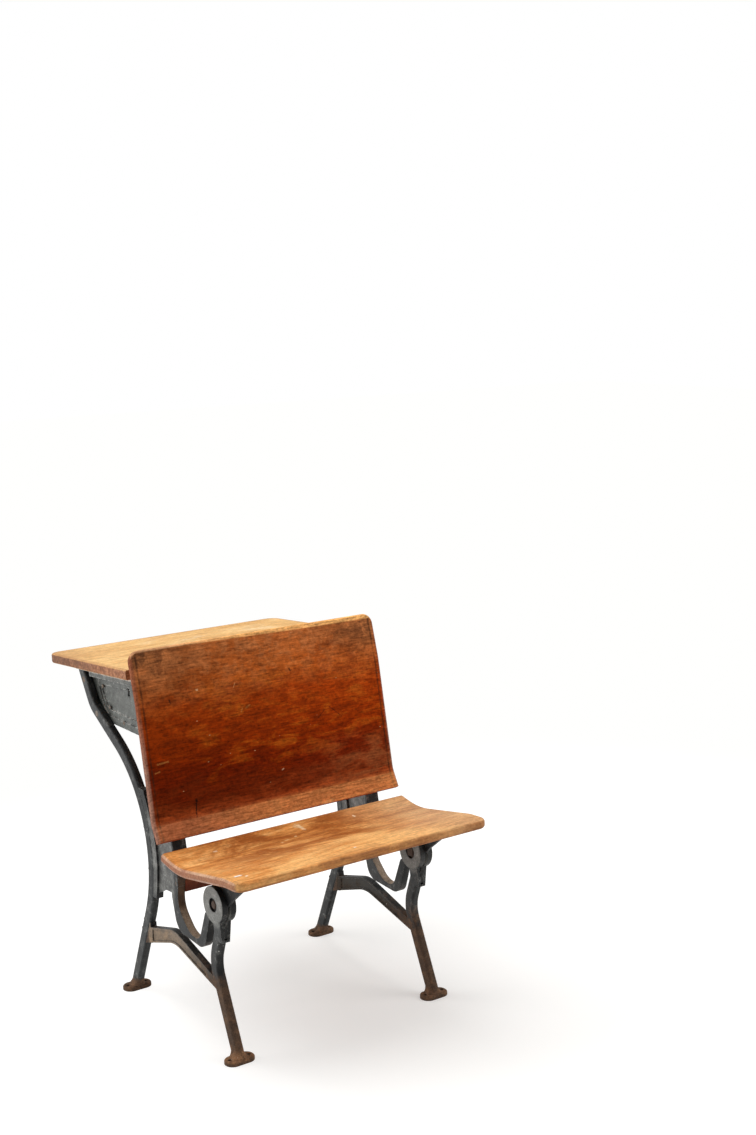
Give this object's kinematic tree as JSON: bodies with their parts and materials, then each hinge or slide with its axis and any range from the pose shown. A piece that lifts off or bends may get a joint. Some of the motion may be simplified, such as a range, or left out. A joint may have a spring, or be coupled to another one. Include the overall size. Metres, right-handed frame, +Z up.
{
  "type": "school desk with lift lid",
  "caption": "Antique school desk: cast-iron legs, a folding seat with its backrest in front, and a book box with a lift lid behind.",
  "frame": {"origin": "bottom centre of the whole desk, on the floor under its middle", "axes": "+X to the right of a pupil who sits on the seat with the desk behind, +Y from the seat to the desk, +Z up"},
  "size_m": [0.574, 0.7746, 0.7475],
  "materials": {
    "iron": "worn black paint over iron, rusty on the feet",
    "seat_wood": "worn varnish",
    "back_wood": "old dark varnish",
    "lid_wood": "worn varnish",
    "box_wood": "unfinished inside",
    "brass": "dull",
    "steel": "tarnished"
  },
  "bodies": {
    "stand": {"rear_leg_left": "iron", "rear_leg_right": "iron", "seat_standard_left": "iron", "seat_standard_right": "iron", "box_end_left": "iron", "box_end_right": "iron", "backrest": "back_wood", "lower_slat": "back_wood", "box_floor": "box_wood", "box_front": "box_wood", "box_rear": "box_wood", "box_hinge_leaf_left": "brass", "box_hinge_leaf_right": "brass", "lid_hinge_pins": "brass", "box_hinge_screws": "brass", "hinge_bolts": "steel", "hinge_nuts": "steel", "leg_bolts": "steel", "box_bolts": "steel", "box_nuts": "steel", "box_screws": "steel", "back_screws": "steel", "slat_screws": "steel"},
    "lid": {"lid_board": "lid_wood", "lid_hinge_leaf_left": "brass", "lid_hinge_leaf_right": "brass", "lid_hinge_screws": "brass"},
    "seat": {"seat_board": "seat_wood", "seat_arm_left": "iron", "seat_arm_right": "iron", "seat_screws": "steel"}
  },
  "joints": [
    {"name": "lid_hinge", "type": "hinge", "parent": "stand", "child": "lid", "pos_m": [0, 0.01923, 0.7087], "axis": [1, 0, 0], "range_deg": [0, 104]},
    {"name": "seat_hinge", "type": "hinge", "parent": "stand", "child": "seat", "pos_m": [0, -0.22017, 0.296], "axis": [-1, 0, 0], "range_deg": [0, 66]}
  ]
}
